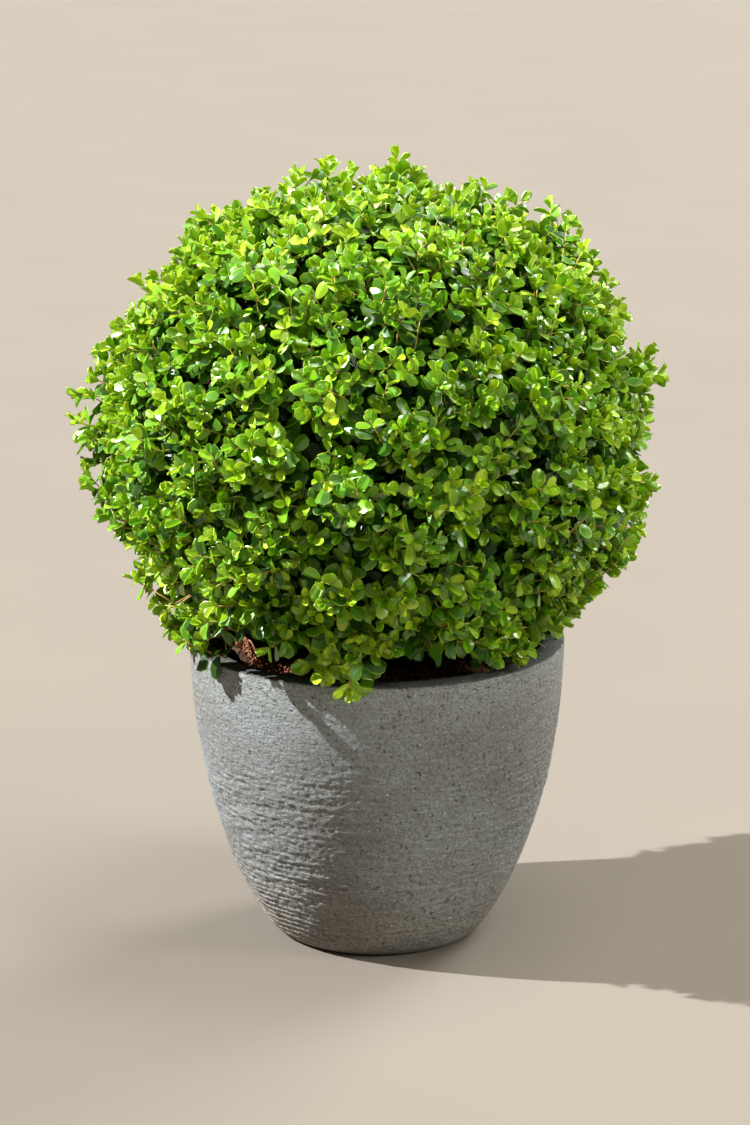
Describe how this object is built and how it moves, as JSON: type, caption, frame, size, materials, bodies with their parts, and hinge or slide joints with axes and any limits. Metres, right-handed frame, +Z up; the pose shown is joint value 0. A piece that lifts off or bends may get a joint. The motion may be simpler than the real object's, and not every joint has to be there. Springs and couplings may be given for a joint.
{
  "type": "potted box topiary ball",
  "caption": "Clipped evergreen box ball on a short hidden stem, growing in a round, tapering, rustic stone-look planter.",
  "frame": {"origin": "centre of the pot's flat underside", "axes": "+Z up, towards the top of the ball; -Y towards the viewer of the picture; +X to the viewer's right"},
  "size_m": [0.5216, 0.485, 0.6888],
  "materials": {
    "pot": "matte",
    "soil": "matte",
    "bark": "matte",
    "foliage": "satin"
  },
  "bodies": {
    "root": {"pot": "pot", "soil": "soil", "trunk": "bark", "bough_top": "bark", "bough_right": "bark", "bough_back": "bark", "bough_left": "bark", "bough_front": "bark", "crown_top": "foliage", "crown_right": "foliage", "crown_back": "foliage", "crown_left": "foliage", "crown_front": "foliage"}
  },
  "joints": []
}
